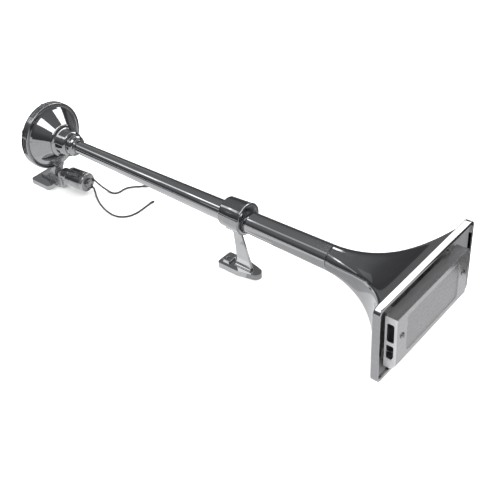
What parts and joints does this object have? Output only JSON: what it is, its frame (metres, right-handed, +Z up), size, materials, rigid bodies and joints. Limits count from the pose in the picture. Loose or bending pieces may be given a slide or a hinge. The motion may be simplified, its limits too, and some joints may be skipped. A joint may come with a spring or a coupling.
{
  "type": "vehicle air horn",
  "caption": "Roof-mounted air horn with a round diaphragm power chamber, a long tapered trumpet, a rectangular flared mouth and a solenoid valve.",
  "frame": {"origin": "centre of the rear mounting pad's underside", "axes": "+X along the trumpet towards its mouth, +Z up from the mounting surface"},
  "size_m": [0.7468, 0.216, 0.1509],
  "materials": {
    "chrome": "polished bright chrome plate",
    "chrome_cast": "chrome plate over a zinc casting",
    "dark_chrome": "dull, fine-textured plated can",
    "zinc_screw": "zinc-plated steel",
    "spring_steel": "thin spring steel sheet",
    "stainless": "turned stainless steel",
    "brass": "turned brass",
    "copper": "enamelled copper winding",
    "black_rubber": "moulded black rubber",
    "bobbin_plastic": "natural nylon",
    "wire_grey": "dark grey insulation",
    "terminal_tin": "tinned copper blade"
  },
  "bodies": {
    "horn": {"rear_cover": "chrome_cast", "housing_screws": "zinc_screw", "clamp_ring": "stainless", "diaphragm": "spring_steel", "diaphragm_gasket": "black_rubber", "power_chamber": "chrome_cast", "throat_nozzle": "brass", "throat_seal": "black_rubber", "gland_nut": "chrome", "trumpet_tube": "chrome", "joint_sleeve": "brass", "trumpet_bell": "chrome", "mouth_cover": "chrome", "cover_brackets": "zinc_screw", "cover_screws": "chrome", "cover_nuts": "zinc_screw", "support_bracket": "chrome_cast", "port_seal": "black_rubber", "valve_body": "dark_chrome", "core_tube": "stainless", "plunger_spring": "stainless", "pole_piece": "stainless", "bobbin": "bobbin_plastic", "coil": "copper", "solenoid_can": "dark_chrome", "end_cap": "chrome", "end_nut": "chrome", "wire_grommets": "black_rubber", "wire_a": "wire_grey", "wire_b": "wire_grey", "terminal_a": "terminal_tin", "terminal_b": "terminal_tin"},
    "plunger_core": {"plunger": "stainless", "plunger_seal": "black_rubber"}
  },
  "joints": [
    {"name": "plunger_slide", "type": "slide", "parent": "horn", "child": "plunger_core", "axis": [0.9969, 0.0785, 0], "range_m": [0, 0.0018], "stiffness_N_per_m": 400, "springref_m": -0.008, "deforming": ["plunger_spring"]}
  ]
}
